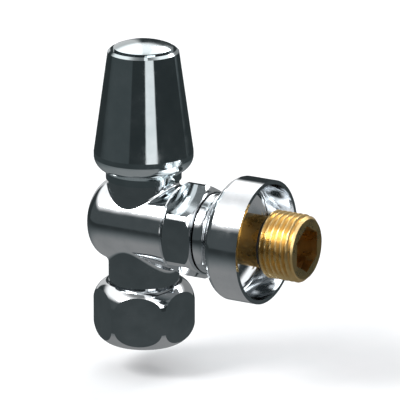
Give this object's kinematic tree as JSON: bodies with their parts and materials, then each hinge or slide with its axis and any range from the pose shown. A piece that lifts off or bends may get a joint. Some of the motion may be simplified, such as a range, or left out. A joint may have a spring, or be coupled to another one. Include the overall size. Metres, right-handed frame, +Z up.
{
  "type": "lockshield radiator valve",
  "caption": "Angled lockshield valve with a tapered cap, domed body, compression nut for the pipe and a bell cover at the radiator.",
  "frame": {"origin": "centre of the compression nut's lower face, where the pipe enters", "axes": "+Z up the spindle away from the pipe, +X along the outlet to the radiator"},
  "size_m": [0.075, 0.0384, 0.0958],
  "materials": {
    "chrome": "polished",
    "cap_chrome": "polished, dark",
    "brass": "turned",
    "steel": "turned",
    "rubber": "matt",
    "fibre": "matt fibre",
    "ptfe": "waxy",
    "liner_plastic": "moulded"
  },
  "bodies": {
    "body": {"valve_body": "chrome", "bonnet": "brass", "bonnet_seal": "fibre", "gland_washer": "brass", "gland_packing": "ptfe", "gland_nut": "brass"},
    "disc": {"disc_holder": "brass", "seat_washer": "rubber", "washer_screw": "steel", "disc_clip": "steel"},
    "spindle": {"spindle": "brass", "spindle_o_ring": "rubber"},
    "liner": {"cap_liner": "liner_plastic", "liner_o_ring": "rubber"},
    "cap": {"lockshield_cap": "cap_chrome", "cap_button": "cap_chrome"},
    "olive": {"pipe_olive": "brass"},
    "foot_nut": {"compression_nut": "chrome"},
    "tail": {"radiator_tail": "brass", "tail_o_ring": "rubber", "union_seal": "fibre", "union_snap_ring": "steel"},
    "union_nut": {"union_nut": "chrome"},
    "shroud": {"radiator_shroud": "chrome", "shroud_o_ring": "rubber"}
  },
  "joints": [
    {"name": "disc_lift", "type": "slide", "parent": "body", "child": "disc", "axis": [0, 0, 1], "range_m": [0, 0.004]},
    {"name": "spindle_turn", "type": "hinge", "parent": "disc", "child": "spindle", "pos_m": [0, 0, 0.045], "axis": [0, 0, 1], "range_deg": [0, 1440]},
    {"name": "cap_pull", "type": "slide", "parent": "body", "child": "liner", "axis": [0, 0, 1], "range_m": [0, 0.03]},
    {"name": "cap_spin", "type": "hinge", "parent": "liner", "child": "cap", "pos_m": [0, 0, 0.07], "axis": [0, 0, 1], "continuous": true},
    {"name": "olive_slide", "type": "slide", "parent": "body", "child": "olive", "axis": [0, 0, -1], "range_m": [0, 0.0091]},
    {"name": "foot_nut_turn", "type": "hinge", "parent": "olive", "child": "foot_nut", "pos_m": [0, 0, 0.01], "axis": [0, 0, -1], "range_deg": [0, 1800]},
    {"name": "tail_draw", "type": "slide", "parent": "body", "child": "tail", "axis": [1, 0, 0], "range_m": [0, 0.0046]},
    {"name": "union_nut_turn", "type": "hinge", "parent": "tail", "child": "union_nut", "pos_m": [0.02, 0, 0.038], "axis": [1, 0, 0], "range_deg": [0, 1080]},
    {"name": "shroud_slide", "type": "slide", "parent": "tail", "child": "shroud", "axis": [1, 0, 0], "range_m": [0, 0.016]}
  ],
  "couplings": [
    {"joint": "spindle_turn", "follows": "disc_lift", "rad_per_m": 6276.9},
    {"joint": "foot_nut_turn", "follows": "olive_slide", "rad_per_m": 3449.9},
    {"joint": "union_nut_turn", "follows": "tail_draw", "rad_per_m": 4096.6}
  ]
}
